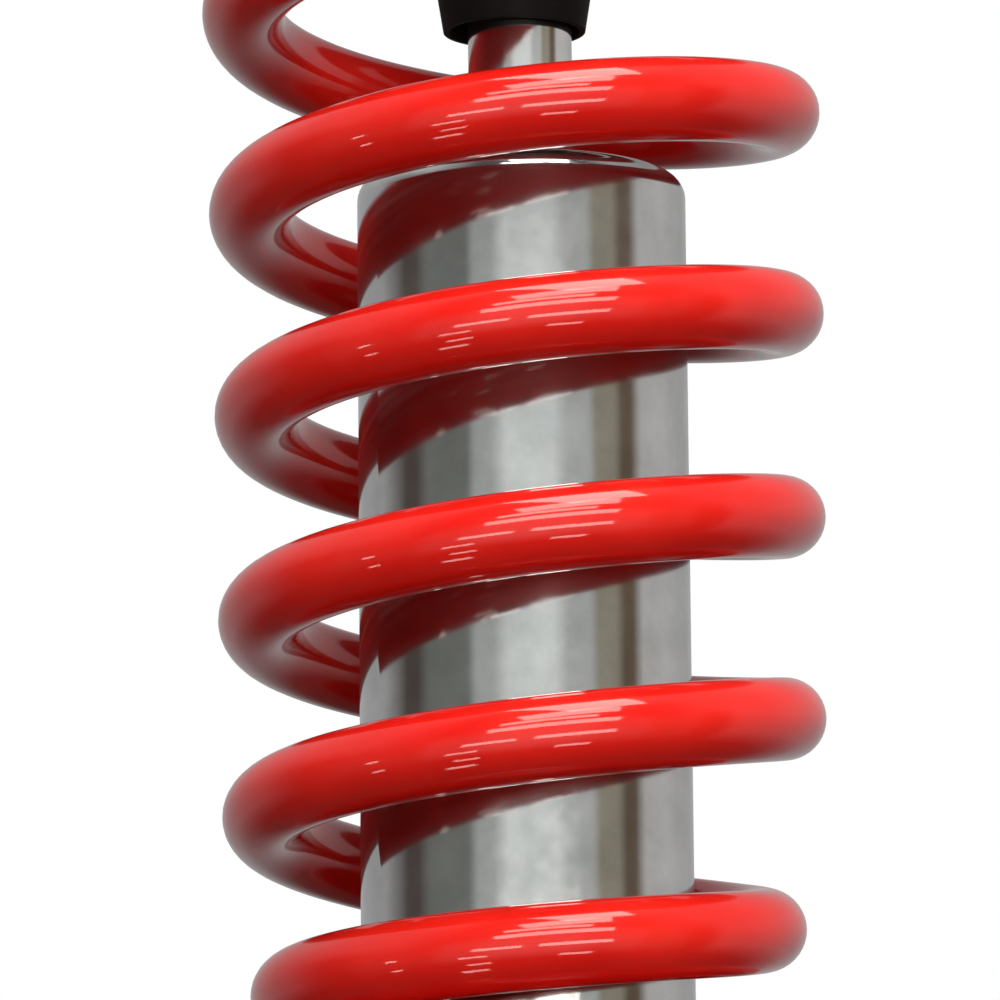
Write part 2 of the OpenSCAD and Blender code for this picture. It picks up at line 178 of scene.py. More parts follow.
def make_room():
    """The white studio that the camera sees, and the banded room that lights and mirrors in the object."""
    world = bpy.data.worlds.new("room")
    bpy.context.scene.world = world
    world.use_nodes = True
    tree = world.node_tree
    tree.nodes.clear()
    direction = add(tree, "ShaderNodeTexCoord").outputs["Generated"]
    part = add(tree, "ShaderNodeSeparateXYZ", {"Vector": direction}).outputs
    front = add(tree, "ShaderNodeMath", {0: part["Y"], 1: -1.0}, operation="MULTIPLY").outputs[0]
    compass = add(tree, "ShaderNodeMath", {0: part["X"], 1: front}, operation="ARCTAN2").outputs[0]
    turn = add(tree, "ShaderNodeMapRange", {"Value": compass, "From Min": -math.pi, "From Max": math.pi})
    bands = add(tree, "ShaderNodeValToRGB", {"Fac": turn.outputs["Result"]})
    set_ramp(bands, [((angle + 180) / 360, tone) for *ends, tone in ROOM_CARDS for angle in ends])
    # the bands fade into a dim floor, and into a ceiling that is dim in front and paler at the sides
    height = add(tree, "ShaderNodeMath", {0: part["Z"]}, operation="ABSOLUTE").outputs[0]
    fade = add(tree, "ShaderNodeMapRange", {"Value": height, "From Min": CARD_FADE[0],
                                            "From Max": CARD_FADE[1]})
    ceiling = add(tree, "ShaderNodeValToRGB", {"Fac": turn.outputs["Result"]})
    set_ramp(ceiling, [((angle + 180) / 360, colour) for angle, colour in CEILING_BANDS])
    above = add(tree, "ShaderNodeMapRange", {"Value": part["Z"], "From Min": FLOOR_TO_CEILING[0],
                                             "From Max": FLOOR_TO_CEILING[1]})
    plain = add(tree, "ShaderNodeMix", {"Factor": above.outputs["Result"]}, data_type="RGBA")
    plain.inputs[6].default_value = rgb(FLOOR_SIDE)
    tree.links.new(ceiling.outputs["Color"], plain.inputs[7])
    room = add(tree, "ShaderNodeMix", data_type="RGBA")
    tree.links.new(fade.outputs["Result"], room.inputs["Factor"])
    tree.links.new(bands.outputs["Color"], room.inputs[6])
    tree.links.new(plain.outputs[2], room.inputs[7])
    ray = add(tree, "ShaderNodeLightPath").outputs
    ahead = add(tree, "ShaderNodeMapRange", {"Value": part["Y"], "From Min": FRONT_TO_BACK[0],
                                             "From Max": FRONT_TO_BACK[1],
                                             "To Min": FRONT_LIGHT, "To Max": BACK_LIGHT})
    # light that reaches a dull surface by way of a mirror counts as the room's light, not as its image
    image = add(tree, "ShaderNodeMath", {0: ray["Is Glossy Ray"], 1: ray["Diffuse Depth"]},
                operation="SUBTRACT")
    seen = add(tree, "ShaderNodeMapRange", {"Value": image.outputs[0], "From Min": 0.5, "From Max": 0.51})
    strength = add(tree, "ShaderNodeMix", {0: seen.outputs[0], 2: ahead.outputs[0], 3: ROOM_MIRRORED})
    lit = add(tree, "ShaderNodeBackground", {"Color": room.outputs[2], "Strength": strength.outputs[0]})
    white = add(tree, "ShaderNodeBackground", {"Color": (1, 1, 1, 1), "Strength": 1.0})
    both = add(tree, "ShaderNodeMixShader", {0: ray["Is Camera Ray"], 1: lit.outputs[0],
                                             2: white.outputs[0]})
    add(tree, "ShaderNodeOutputWorld", {"Surface": both.outputs[0]})


def direction_to(compass, height):
    """Unit vector at a compass angle from the camera's side towards +X, and a height angle."""
    a, e = math.radians(compass), math.radians(height)
    return Vector((math.sin(a) * math.cos(e), -math.cos(a) * math.cos(e), math.sin(e)))


def make_tube_light(name, height, start, end, thickness):
    """One straight tube light that faces the object, thickness metres across."""
    here, there = [direction_to(compass, height) * TUBE_DISTANCE for compass in (start, end)]
    data = bpy.data.lights.new(name, "AREA")
    data.shape = "RECTANGLE"
    data.size = (there - here).length
    data.size_y = thickness
    data.energy = TUBE_GLOW * data.size * data.size_y * math.pi
    data.color = TUBE_COLOUR
    lamp = bpy.data.objects.new(name, data)
    bpy.context.collection.objects.link(lamp)
    middle = (here + there) / 2
    along = (there - here).normalized()
    facing = middle.normalized()
    rise = facing.cross(along).normalized()
    lamp.matrix_world = Matrix((along, rise, facing)).transposed().to_4x4()
    lamp.location = middle + Vector((0, 0, VIEW_HEIGHT))
    lamp.visible_camera = False


def make_soft_box(name, compass, height, glow):
    """A wide soft light that fills one side and isn't mirrored in the object."""
    data = bpy.data.lights.new(name, "AREA")
    data.shape = "SQUARE"
    data.size = SOFT_BOX_SIDE
    data.energy = glow * SOFT_BOX_SIDE ** 2 * math.pi
    lamp = bpy.data.objects.new(name, data)
    bpy.context.collection.objects.link(lamp)
    facing = direction_to(compass, height)
    lamp.location = facing * TUBE_DISTANCE + Vector((0, 0, VIEW_HEIGHT))
    lamp.rotation_mode = "QUATERNION"
    lamp.rotation_quaternion = facing.to_track_quat("Z", "Y")
    lamp.visible_camera = False
    lamp.visible_glossy = False


def make_lights():
    for i, row in enumerate(TUBE_ROWS):
        make_tube_light(f"tube_light_{i}", *row)
    for soft_box in SOFT_BOXES:
        make_soft_box(*soft_box)


def make_floor():
    """A plain pale floor under the lower eye, wide enough that its edge is never seen."""
    half = 12.0
    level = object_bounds()[0].z - 0.0005
    mesh = bpy.data.meshes.new("floor")
    corners = [(-half, -half, level), (half, -half, level), (half, half, level), (-half, half, level)]
    mesh.from_pydata(corners, [], [(0, 1, 2, 3)])
    floor = bpy.data.objects.new("floor", mesh)
    bpy.context.collection.objects.link(floor)
    # the floor catches shadows, but throws no light up under the object
    floor.visible_diffuse = False
    floor.visible_glossy = False
    material, tree, shader, place = start_material("pale_floor")
    clouded(tree, shader, place, 60, ("8c8b8a", "8f8e8d"))
    shader.inputs["Roughness"].default_value = 0.8
    # a glow of its own keeps it evenly pale: faint under the lights, and stronger further out
    away = add(tree, "ShaderNodeVectorMath", {0: place}, operation="LENGTH").outputs["Value"]
    glow = add(tree, "ShaderNodeMapRange", {"Value": away, "From Min": 0.6, "From Max": 5.0,
                                            "To Min": 0.82, "To Max": 1.12}, interpolation_type="SMOOTHSTEP")
    shader.inputs["Emission Color"].default_value = rgb("f4f4f3")
    tree.links.new(glow.outputs["Result"], shader.inputs["Emission Strength"])
    mesh.materials.append(material)


# ------------------------------------------------------------------ shader nodes

# A pattern's values lie mostly between these two
PATTERN_ENDS = (0.3, 0.7)


def rgb(hex_colour):
    """Linear colour of an sRGB hex value."""
    parts = [int(hex_colour[i:i + 2], 16) / 255 for i in (0, 2, 4)]
    return [p / 12.92 if p <= 0.04045 else ((p + 0.055) / 1.055) ** 2.4 for p in parts] + [1.0]


def add(tree, kind, links=None, **settings):
    """Adds a shader node: links maps input names to sockets or values, settings are the node's own."""
    new = tree.nodes.new(kind)
    for key, value in settings.items():
        setattr(new, key, value)
    for key, value in (links or {}).items():
        if isinstance(value, bpy.types.NodeSocket):
            tree.links.new(value, new.inputs[key])
        else:
            new.inputs[key].default_value = value
    return new


def set_ramp(node, stops):
    """Fills a colour ramp from (place, hex colour) pairs."""
    ramp = node.color_ramp
    while len(ramp.elements) > 1:
        ramp.elements.remove(ramp.elements[-1])
    for i, (place, colour) in enumerate(stops):
        element = ramp.elements[0] if i == 0 else ramp.elements.new(place)
        element.position = place
        element.color = rgb(colour)
    return node


def start_material(name):
    """A new material with its tree, Principled shader and object coordinates in metres."""
    material = bpy.data.materials.new(name)
    material.use_nodes = True
    tree = material.node_tree
    shader = tree.nodes["Principled BSDF"]
    place = add(tree, "ShaderNodeTexCoord").outputs["Object"]
    return material, tree, shader, place


def pattern(tree, place, size_mm, detail=3.0, roughness=0.5, stretch=(1, 1, 1)):
    """A wandering pattern whose features are about size_mm across, times stretch along each axis."""
    scale = [1 / (size_mm * MM * s) for s in stretch]
    spread = add(tree, "ShaderNodeMapping", {"Vector": place, "Scale": scale})
    grain = add(tree, "ShaderNodeTexNoise", {"Vector": spread.outputs["Vector"], "Scale": 1.0,
                                             "Detail": detail, "Roughness": roughness})
    return grain.outputs["Fac"]


def clouded(tree, shader, place, size_mm, colours, dullness=None, **grain):
    """Patches about size_mm across, in which the colour and the roughness wander between two values."""
    patches = pattern(tree, place, size_mm, **grain)
    ramp = set_ramp(add(tree, "ShaderNodeValToRGB", {"Fac": patches}), list(zip(PATTERN_ENDS, colours)))
    tree.links.new(ramp.outputs["Color"], shader.inputs["Base Color"])
    if dullness:
        spread = add(tree, "ShaderNodeMapRange", {"Value": patches, "From Min": PATTERN_ENDS[0],
                                                  "From Max": PATTERN_ENDS[1],
                                                  "To Min": dullness[0], "To Max": dullness[1]})
        tree.links.new(spread.outputs["Result"], shader.inputs["Roughness"])


def grained(tree, shader, place, size_mm, depth_mm, **grain):
    """Fine relief over the whole surface: features size_mm across, and depth_mm from low to high."""
    height = pattern(tree, place, size_mm, **grain)
    bump = add(tree, "ShaderNodeBump", {"Height": height, "Distance": depth_mm * MM})
    tree.links.new(bump.outputs["Normal"], shader.inputs["Normal"])


# ------------------------------------------------------------------ materials

# How far tool marks are drawn out along each axis: in rings round the rod or the bolt, or along the rod
ROUND_ROD, ROUND_BOLT, ALONG_ROD = (30, 30, 1), (30, 1, 30), (1, 1, 30)


def red_powder_coat():
    """Thick glossy powder coat on spring wire: saturated red, mirror highlights, faint orange peel."""
    material, tree, shader, place = start_material("red_powder_coat")
    shader.inputs["IOR"].default_value = 1.5
    shader.inputs["Specular IOR Level"].default_value = 0.05
    shader.inputs["Coat Weight"].default_value = 1.0
    shader.inputs["Coat IOR"].default_value = 1.45
    shader.inputs["Coat Roughness"].default_value = 0.065
    clouded(tree, shader, place, 14, ("d21710", "dc2016"), (0.30, 0.42), detail=4)
    # orange peel 2 to 3 mm across and about a hundredth of a millimetre deep
    grained(tree, shader, place, 2.4, 0.012, detail=2)
    return material


def plated_steel():
    """Polished and zinc-plated steel tube: mirror bands with soft edges, clouding and faint scratches."""
    material, tree, shader, place = start_material("polished_plated_steel")
    shader.inputs["Metallic"].default_value = 1.0
    # a clear passivation film spreads a faint milky haze over the mirror
    shader.inputs["Coat Weight"].default_value = 0.6
    shader.inputs["Coat Roughness"].default_value = 0.5
    # plating blotches 5 to 15 mm across dull the polish in places
    clouded(tree, shader, place, 9, ("babbba", "cecfcf"), (0.06, 0.13), detail=5, roughness=0.6)
    # polishing leaves shallow waves across the tube, and hairlines drawn 0.5 mm apart so that they show
    waves = pattern(tree, place, 6, detail=2, stretch=(1, 1, 2.5))
    hairlines = pattern(tree, place, 0.5, detail=2, stretch=(1, 1, 14))
    faint = add(tree, "ShaderNodeMath", {0: hairlines, 1: 0.06}, operation="MULTIPLY").outputs[0]
    height = add(tree, "ShaderNodeMath", {0: waves, 1: faint}, operation="ADD").outputs[0]
    bump = add(tree, "ShaderNodeBump", {"Height": height, "Distance": 0.009 * MM})
    tree.links.new(bump.outputs["Normal"], shader.inputs["Normal"])
    return material


def hard_chrome(name, marks):
    """Ground and hard-chromed steel: bright and even, with grinding marks round its own axis."""
    material, tree, shader, place = start_material(name)
    shader.inputs["Metallic"].default_value = 1.0
    # a thin film of oil softens the darkest reflections
    shader.inputs["Coat Weight"].default_value = 0.8
    shader.inputs["Coat Roughness"].default_value = 0.5
    clouded(tree, shader, place, 6, ("cfcfcd", "dcdcdb"), (0.07, 0.13))
    # grinding marks 0.25 mm apart
    grained(tree, shader, place, 0.25, 0.0015, detail=1, stretch=marks)
    return material


def turned_metal(name, colours, dullness, groove_mm, depth_mm, marks=ROUND_ROD):
    """Metal finished on a lathe: fine rings from the tool, slight clouding and a satin sheen."""
    material, tree, shader, place = start_material(name)
    shader.inputs["Metallic"].default_value = 1.0
    clouded(tree, shader, place, 8, colours, dullness, detail=4)
    grained(tree, shader, place, groove_mm, depth_mm, detail=2, stretch=marks)
    return material


def rough_solid(name, colours, dullness, grain_mm, depth_mm, metallic=0.0, ior=1.5):
    """Moulded or sintered stuff: an even grain over the whole surface, with slight clouding."""
    material, tree, shader, place = start_material(name)
    shader.inputs["Metallic"].default_value = metallic
    if not metallic:
        shader.inputs["IOR"].default_value = ior
    clouded(tree, shader, place, 7, colours, dullness, detail=4)
    grained(tree, shader, place, grain_mm, depth_mm, detail=3, roughness=0.65)
    return material


def make_materials():
    """Every finish, by the name of its material slot."""
    return {
        "red_powder_coat": red_powder_coat(),
        "plated_steel": plated_steel(),
        "hard_chrome": hard_chrome("hard_chrome", ROUND_ROD),
        "hard_chrome_across": hard_chrome("hard_chrome_ball", ROUND_BOLT),
        # zinc-plated turned spacers: brighter than bare steel, with 0.4 mm tool rings
        "plated_steel_across": turned_metal("zinc_plated_spacers", ("b0b1ad", "c6c7c3"), (0.18, 0.3),
                                            0.4, 0.006, ROUND_BOLT),
        # turned and zinc-plated steel: satin, with 0.4 mm tool rings
        "machined_steel": turned_metal("machined_steel", ("9b9c9a", "b3b4b1"), (0.24, 0.36), 0.4, 0.008),
        # hardened and ground steel: dark, smooth and bright, with 0.2 mm grinding rings
        "bearing_steel": turned_metal("ground_bearing_steel", ("77797b", "8f9193"), (0.16, 0.24), 0.2, 0.002),
        "bearing_steel_across": turned_metal("ground_bearing_race", ("77797b", "8f9193"), (0.14, 0.2),
                                             0.2, 0.001, ROUND_BOLT),
        # drawn steel tube: satin, with 0.5 mm lines from the die along it
        "drawn_steel": turned_metal("drawn_steel", ("9a9b9b", "acadad"), (0.28, 0.38), 0.5, 0.004,
                                    ALONG_ROD),
        # phosphated spring steel: dark grey with a dull sheen
        "spring_steel": turned_metal("phosphated_spring_steel", ("3c3d3f", "4c4d50"), (0.35, 0.5),
                                     0.3, 0.004),
        # clear-anodised aluminium: pale grey satin with 0.35 mm tool rings
        "anodised_aluminium": turned_metal("clear_anodised_aluminium", ("a9abae", "bdbfc2"), (0.28, 0.4),
                                           0.35, 0.006),
        # turned bronze: warm brown and satin, with 0.3 mm tool rings
        "bronze": turned_metal("bronze_bush", ("8c6a3c", "a9854e"), (0.25, 0.35), 0.3, 0.004),
        # sintered iron: dark, matte and granular, 0.35 mm grains
        "sintered_iron": rough_solid("sintered_iron", ("505050", "686868"), (0.5, 0.62), 0.35, 0.02, 1.0),
        # nitrile rubber: near black with a soft sheen
        "black_rubber": rough_solid("nitrile_rubber", ("141414", "1c1c1c"), (0.45, 0.6), 0.6, 0.01),
        # microcellular polyurethane: near black, matte, 0.45 mm pores
        "black_foam": rough_solid("polyurethane_foam", ("050505", "0b0b0b"), (0.62, 0.8), 0.45, 0.04,
                                  ior=1.3),
        # moulded nylon: warm white with a low gloss
        "nylon": rough_solid("natural_nylon", ("d8d4c4", "e6e3d6"), (0.35, 0.45), 0.8, 0.006),
        # filled fluoroplastic: dark green-grey, with a waxy low gloss
        "ptfe": rough_solid("filled_ptfe", ("2c2f2c", "3a3d39"), (0.4, 0.5), 0.5, 0.006),
    }


# ------------------------------------------------------------------ mesh building

def finish_piece(name, mesh, node, sharp=35.0, finish=None, rides=True):
    """Turns a mesh into the visible piece of a CAD node: smooth shading, material, slot and body."""
    for polygon in mesh.polygons:
        polygon.use_smooth = True
    mesh.set_sharp_from_angle(angle=math.radians(sharp))
    mesh.materials.append(MATERIALS[finish or SLOTS[node]])
    piece = bpy.data.objects.new(name, mesh)
    bpy.context.collection.objects.link(piece)
    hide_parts(node)
    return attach(piece, BODY_OF[node]) if rides else piece


def clean_mesh(name, points, faces):
    """A mesh without doubled points, with its faces turned outwards. Points are in millimetres."""
    mesh = bpy.data.meshes.new(name)
    mesh.from_pydata([[c * MM for c in p] for p in points], [], faces)
    work = bmesh.new()
    work.from_mesh(mesh)
    bmesh.ops.remove_doubles(work, verts=work.verts, dist=0.0005 * MM)
    bmesh.ops.dissolve_degenerate(work, edges=work.edges, dist=0.0005 * MM)
    bmesh.ops.recalc_face_normals(work, faces=work.faces)
    work.to_mesh(mesh)
    work.free()
    return mesh


def rounded(outline, arc_steps=6):
    """Rounds an outline's corners: each corner is (radius, height) or (radius, height, rounding)."""
    path = []
    count = len(outline)
    for i, corner in enumerate(outline):
        here = np.array(corner[:2], float)
        size = corner[2] if len(corner) > 2 else 0.0
        if not size:
            path.append(tuple(here))
            continue
        before = np.array(outline[i - 1][:2], float) - here
        after = np.array(outline[(i + 1) % count][:2], float) - here
        before_length, after_length = np.linalg.norm(before), np.linalg.norm(after)
        before, after = before / before_length, after / after_length
        half_angle = math.acos(np.clip(before @ after, -1, 1)) / 2
        reach = min(size / math.tan(half_angle), before_length * 0.499, after_length * 0.499)
        size = reach * math.tan(half_angle)
        middle = here + (before + after) / np.linalg.norm(before + after) * size / math.sin(half_angle)
        start, end = here + before * reach - middle, here + after * reach - middle
        first = math.atan2(start[1], start[0])
        sweep = math.atan2(end[1], end[0]) - first
        sweep = (sweep + math.pi) % (2 * math.pi) - math.pi
        for k in range(arc_steps + 1):
            angle = first + sweep * k / arc_steps
            path.append((middle[0] + size * math.cos(angle), middle[1] + size * math.sin(angle)))
    return path


def turned_mesh(name, outlines, steps=144):
    """Surfaces of revolution about Z, one for each closed outline of (radius, height) points."""
    points, faces = [], []
    for outline in outlines:
        first, count = len(points), len(outline)
        for s in range(steps):
            angle = 2 * math.pi * s / steps
            points += [(r * math.cos(angle), r * math.sin(angle), z) for r, z in outline]
        for s in range(steps):
            here, there = first + s * count, first + (s + 1) % steps * count
            for k in range(count):
                after = (k + 1) % count
                if outline[k][0] > 0 or outline[after][0] > 0:
                    faces.append((here + k, there + k, there + after, here + after))
    return clean_mesh(name, points, faces)


def turned(node, *outlines, arc_steps=6, steps=144, eye_z=None, shift_x=0.0):
    """A turned piece in place of a CAD node: about the rod's axis, or along Y through an eye at eye_z."""
    mesh = turned_mesh(node, [rounded(outline, arc_steps) for outline in outlines], steps)
    finish = SLOTS[node]
    if eye_z is not None:
        mesh.transform(Matrix.Translation((0, 0, eye_z * MM)) @ Matrix.Rotation(math.pi / 2, 4, "X"))
        finish += "_across"
    mesh.transform(Matrix.Translation((shift_x * MM, 0, 0)))
    return finish_piece(node + "_turned", mesh, node, finish=finish)


def even_steps(path, longest):
    """Splits the long sides of a closed path, so that a round hole in it stays round."""
    result = []
    for i, here in enumerate(path):
        here, there = np.array(here), np.array(path[(i + 1) % len(path)])
        parts = max(1, math.ceil(np.linalg.norm(there - here) / longest))
        result += [tuple(here + (there - here) * k / parts) for k in range(parts)]
    return result


def plate_mesh(name, path, hole, low_z, high_z, edge, arc_steps=4):
    """A thick plate of any closed outline, its edges rounded, with a round hole of (radius, height) points
    that run from the top face down to the bottom face. Its edges are rounded less than its corners are."""
    path = np.array(path)
    after, before = np.roll(path, -1, 0) - path, path - np.roll(path, 1, 0)
    after /= np.linalg.norm(after, axis=1)[:, None]
    before /= np.linalg.norm(before, axis=1)[:, None]
    inward = np.stack([-(after + before)[:, 1], (after + before)[:, 0]], 1)
    inward /= np.linalg.norm(inward, axis=1)[:, None]
    turn = np.arctan2(path[:, 1], path[:, 0])
    levels = []
    for k in range(arc_steps + 1):
        a = math.pi / 2 * k / arc_steps
        levels.append((edge * (1 - math.sin(a)), low_z + edge * (1 - math.cos(a))))
    levels += [(inset, high_z + low_z - z) for inset, z in reversed(levels)]
    rings = [[(x, y, z) for x, y in path + inward * inset] for inset, z in levels]
    rings += [[(r * math.cos(a), r * math.sin(a), z) for a in turn] for r, z in hole]
    count = len(path)
    points = [point for ring in rings for point in ring]
    faces = []
    for n in range(len(rings)):
        here, there = n * count, (n + 1) % len(rings) * count
        for k in range(count):
            faces.append((here + k, here + (k + 1) % count, there + (k + 1) % count, there + k))
    return clean_mesh(name, points, faces)


def joined(mesh, other):
    """The union of two closed meshes as one mesh."""
    pair = [bpy.data.objects.new(part.name, part) for part in (mesh, other)]
    for part in pair:
        bpy.context.collection.objects.link(part)
    union = pair[0].modifiers.new("union", "BOOLEAN")
    union.operation = "UNION"
    union.solver = "EXACT"
    union.object = pair[1]
    shown = pair[0].evaluated_get(bpy.context.evaluated_depsgraph_get())
    result = bpy.data.meshes.new_from_object(shown)
    for part in pair:
        bpy.data.objects.remove(part)
    return result


# ------------------------------------------------------------------ spring

WIRE_R = 6.5
COIL_STEPS = 96   # stations in each turn
WIRE_SIDES = 40
SPRING_START = math.radians(66)
# mean radius of the closed turns, above the lower end's taper, and at the top
SPRING_LOW_R, SPRING_MID_R, SPRING_TOP_R = 36.2, 40.8, 43.3
TAPER_LOW, TAPER_HIGH = 28.0, 62.0
OPEN_PITCH = 32.4
CLOSED_PITCH = 2 * WIRE_R + 0.4
CLOSED_TURNS = 1.8
CLOSING_TURNS = 0.35
# the spring sits off the rod's axis, and bows sideways a little below its upper seat
SPRING_SHIFT = -0.45
SPRING_BOW, BOW_HEIGHT, BOW_LENGTH = -1.2, 200.0, 50.0


def wire_heights(length):
    """Heights of the wire's centre above the lower seat, one for each station along the coil."""
    # closed turns, a half-open stretch, a steeper one, and then even open turns
    turns = [0, CLOSED_TURNS, 2.3, 2.7, 2.95, 3.2, 3.45, 3.9, 4.3]
    pitches = [CLOSED_PITCH, CLOSED_PITCH, 19, 19, 37, 37, 30, 30.5, OPEN_PITCH]
    start, end = -WIRE_R / 2, length + WIRE_R / 2
    closing_rise = CLOSED_PITCH + CLOSING_TURNS * (CLOSED_PITCH + OPEN_PITCH) / 2
    heights = [start]
    while heights[-1] < end - closing_rise:
        turn = (len(heights) - 0.5) / COIL_STEPS
        heights.append(heights[-1] + np.interp(turn, turns, pitches) / COIL_STEPS)
    opened = len(heights)
    while heights[-1] < end:
        turn = (len(heights) - opened + 0.5) / COIL_STEPS
        pitch = np.interp(turn, [0, CLOSING_TURNS], [OPEN_PITCH, CLOSED_PITCH])
        heights.append(heights[-1] + pitch / COIL_STEPS)
    return np.array(heights)


def make_spring():
    """Closed and ground spring of round wire, which shortens evenly between its seats."""
    seat, length = low("spring"), high("spring") - low("spring")
    heights = wire_heights(length)
    taper = np.clip((heights - TAPER_LOW) / (TAPER_HIGH - TAPER_LOW), 0, 1)
    flare = np.clip((heights - TAPER_HIGH) / (length - TAPER_HIGH), 0, 1)
    coil_r = (SPRING_LOW_R + (SPRING_MID_R - SPRING_LOW_R) * taper ** 2 * (3 - 2 * taper)
              + (SPRING_TOP_R - SPRING_MID_R) * flare)
    bow = SPRING_SHIFT + SPRING_BOW * np.exp(-((heights - BOW_HEIGHT) / BOW_LENGTH) ** 2)
    stations = len(heights)
    # the wire's cross-section lies across the wire's own direction
    turn = SPRING_START + 2 * math.pi * np.arange(stations) / COIL_STEPS
    centre = np.stack([coil_r * np.cos(turn) + bow, coil_r * np.sin(turn), heights], 1)
    along = np.gradient(centre, axis=0)
    along /= np.linalg.norm(along, axis=1)[:, None]
    outward = np.stack([np.cos(turn), np.sin(turn), np.zeros(stations)], 1)
    outward -= np.sum(outward * along, 1)[:, None] * along
    outward /= np.linalg.norm(outward, axis=1)[:, None]
    upward = np.cross(outward, along)
    upward *= np.sign(upward[:, 2])[:, None]
    side = 2 * math.pi * np.arange(WIRE_SIDES) / WIRE_SIDES
    ring = (centre[:, None] + WIRE_R * (outward[:, None] * np.cos(side)[None, :, None]
                                       + upward[:, None] * np.sin(side)[None, :, None]))
    ring[..., 2] = np.clip(ring[..., 2], 0, length) + seat
    points = ring.reshape(-1, 3).tolist()
    faces = []
    for i in range(stations - 1):
        for k in range(WIRE_SIDES):
            after = (k + 1) % WIRE_SIDES
            a, b = i * WIRE_SIDES, (i + 1) * WIRE_SIDES
            faces.append((a + k, a + after, b + after, b + k))
    faces.append(tuple(range(WIRE_SIDES)))
    faces.append(tuple(range((stations - 1) * WIRE_SIDES, stations * WIRE_SIDES)))
    mesh = clean_mesh("spring_wire", points, faces)
    piece = finish_piece("spring_wire", mesh, "spring", sharp=50, rides=False)
    bottom, top = Vector((0, 0, low("spring") * MM)), Vector((0, 0, high("spring") * MM))
    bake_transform(piece, "spring_seat", "upper_seat", start=bottom, end=top)
    # each turn of wire keeps its round section: the closed turns stay whole and the open ones close evenly
    lowest, highest = heights[int(CLOSED_TURNS * COIL_STEPS)], heights[-COIL_STEPS - 1]
    travel = np.clip((heights - lowest) / (highest - lowest), 0, 1)
    wire = KDTree(stations)
    for i, point in enumerate(centre):
        wire.insert(Vector(point) * MM + bottom, i)
    wire.balance()
    shares = [travel[wire.find(vertex.co)[1]] for vertex in mesh.vertices]
    mesh.attributes["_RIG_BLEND"].data.foreach_set("value", np.array(shares, np.float32))
    return piece


# ------------------------------------------------------------------ damper body

# Sizes that no node's box gives are the design's own, in millimetres
BODY_R = outer("body_tube")
TUBE_R = outer("rod_guide")   # inside of the body tube
BODY_TOP = high("body_tube")
BODY_LOW = low("body_tube")
BODY_ROLL = 4.0
LIP_R = outer("dust_wiper")
LIP_THICK = 3.0
THREAD_LOW, THREAD_HIGH = 38.0, 146.0
THREAD_PITCH = 2.0
THREAD_DEPTH = 1.1
COLLAR_R = BODY_R + 0.05   # bore of the nuts and the lower seat, which run on the thread's crests
SPIGOT_CLEARANCE = 0.8     # between the spring and the spigots that centre it
ROD_R = 8.25
ROD_FIT = 0.04
THREAD_R = 7.0             # thread at the rod's upper end
SHANK_R = 13.0
EYE_R = outer("rod_eye")
EYE_HALF = 12.0
RACE_R = outer("lower_bearing_race")
GROOVE_R = 19.0
GROOVE_LOW, GROOVE_HIGH = 8.5, 9.7
BALL_R = outer("lower_ball")
BALL_BORE_R = 8.03
BOLT_R = 6.05


def make_body_tube():
    """Tube with a rolled top and, lower down, a helical thread that runs out at both ends."""
    steps, rows = 144, 8
    # one pitch of thread, as (share of the pitch, share of the depth)
    profile = [(0.0, 0.0), (0.08, 0.0), (0.42, 1.0), (0.5, 1.0), (0.58, 1.0), (0.92, 0.0)]
    turns = int((THREAD_HIGH - THREAD_LOW) / THREAD_PITCH)
    columns = []
    for s in range(steps):
        angle = 2 * math.pi * s / steps
        column = [(TUBE_R, BODY_LOW), (BODY_R - 0.6, BODY_LOW), (BODY_R, BODY_LOW + 0.6)]
        for n in range(-1, turns + 1):
            for share, depth in profile:
                z = THREAD_LOW + (n + share + s / steps) * THREAD_PITCH
                inside = THREAD_LOW <= z <= THREAD_HIGH
                from_end = max(0.0, min(z - THREAD_LOW, THREAD_HIGH - z)) / THREAD_PITCH
                cut = THREAD_DEPTH * depth * min(1.0, from_end) if inside else 0.0
                column.append((BODY_R - cut, min(max(z, THREAD_LOW), THREAD_HIGH)))
        middle = BODY_TOP - BODY_ROLL
        for k in range(rows + 1):
            a = math.pi / 2 * k / rows
            column.append((BODY_R - BODY_ROLL + BODY_ROLL * math.cos(a), middle + BODY_ROLL * math.sin(a)))
        column += [(LIP_R + 0.4, BODY_TOP), (LIP_R, BODY_TOP - 0.4), (LIP_R, BODY_TOP - LIP_THICK),
                   (TUBE_R, BODY_TOP - LIP_THICK)]
        columns.append([(r * math.cos(angle), r * math.sin(angle), z) for r, z in column])
    count = len(columns[0])
    points = [point for column in columns for point in column]
    faces = []
    for s in range(steps):
        here, there = s * count, (s + 1) % steps * count
        # the thread climbs one pitch in a whole turn, so the last column meets the first one pitch up
        shift = len(profile) if s == steps - 1 else 0
        first, last = 3, 3 + (turns + 2) * len(profile)
        for k in range(count):
            after = (k + 1) % count
            if shift and first <= k < last - 1:
                lower, upper = k + shift, after + shift
                if upper >= last:
                    continue
                faces.append((here + k, there + lower, there + upper, here + after))
            else:
                faces.append((here + k, there + k, there + after, here + after))
    return finish_piece("body_tube_rolled", clean_mesh("body_tube", points, faces), "body_tube")


